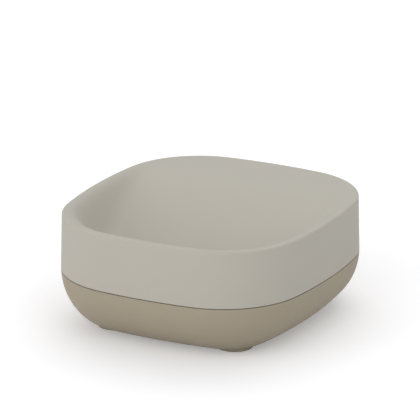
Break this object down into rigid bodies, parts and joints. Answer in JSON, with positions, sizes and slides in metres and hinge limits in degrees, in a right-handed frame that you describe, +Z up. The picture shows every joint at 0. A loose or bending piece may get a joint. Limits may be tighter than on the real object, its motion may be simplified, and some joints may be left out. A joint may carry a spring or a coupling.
{
  "type": "soap dish",
  "caption": "Rounded-square soap dish: a tray with a sloping bowl and a drain slot lifts off a rounded reservoir base on low soft feet.",
  "frame": {"origin": "on the table, under the middle of the dish's bounding box", "axes": "+Z up, -Y towards the front, where the drain slot is, +X to the right seen from the front"},
  "size_m": [0.11, 0.1188, 0.048],
  "materials": {
    "tray_plastic": "fine matte moulded surface, pale warm grey",
    "base_plastic": "fine matte moulded surface, taupe",
    "foot_rubber": "soft matte, taupe"
  },
  "bodies": {
    "base": {"base": "base_plastic", "front_left_foot": "foot_rubber", "front_right_foot": "foot_rubber", "back_left_foot": "foot_rubber", "back_right_foot": "foot_rubber"},
    "tray": {"tray": "tray_plastic"}
  },
  "joints": [
    {"name": "tray_lift", "type": "slide", "parent": "base", "child": "tray", "axis": [0, 0, 1], "range_m": [0, 0.04]}
  ]
}
